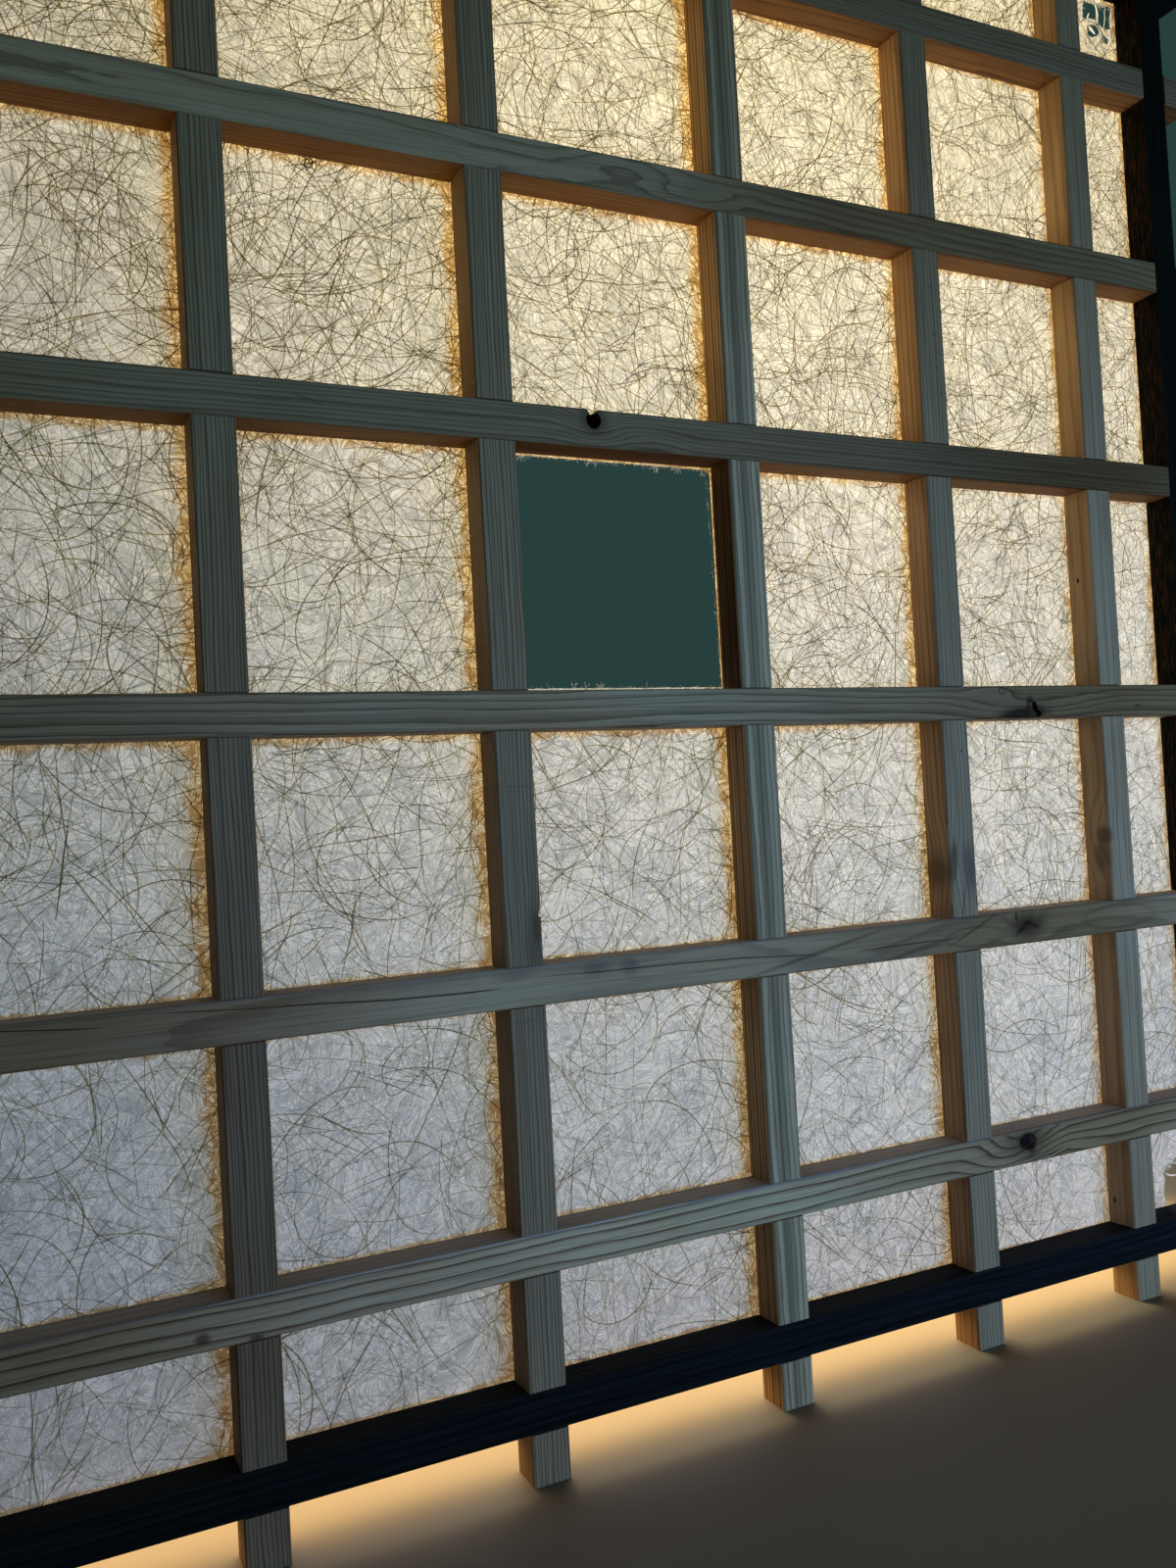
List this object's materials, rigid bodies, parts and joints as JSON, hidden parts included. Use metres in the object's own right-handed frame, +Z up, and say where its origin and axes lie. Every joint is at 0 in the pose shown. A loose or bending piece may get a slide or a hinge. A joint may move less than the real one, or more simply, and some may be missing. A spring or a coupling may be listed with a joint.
{
  "type": "shoji lattice screen",
  "caption": "Square wooden lattice screen with a dark frame, half-lapped strips, a fibrous paper sheet glued behind and a window cut in its middle.",
  "frame": {"origin": "under the middle of the panel, on the surface that its strip ends stand on", "axes": "+Z up, +Y through the panel from its front to its paper side, +X to the right seen from the front"},
  "size_m": [0.858, 0.0194, 0.858],
  "materials": {
    "softwood": "planed, unfinished, slightly greyed",
    "dark_wood": "black-brown stain, matt, grain showing",
    "paper": "matt, long curved fibres, lets light through"
  },
  "bodies": {
    "root": {"vertical_strip_1": "softwood", "vertical_strip_2": "softwood", "vertical_strip_3": "softwood", "vertical_strip_4": "softwood", "vertical_strip_5": "softwood", "vertical_strip_6": "softwood", "horizontal_strip_1": "softwood", "horizontal_strip_2": "softwood", "horizontal_strip_3": "softwood", "horizontal_strip_4": "softwood", "horizontal_strip_5": "softwood", "horizontal_strip_6": "softwood", "top_rail": "dark_wood", "bottom_rail": "dark_wood", "left_stile": "dark_wood", "right_stile": "dark_wood", "paper_sheet": "paper"}
  },
  "joints": []
}
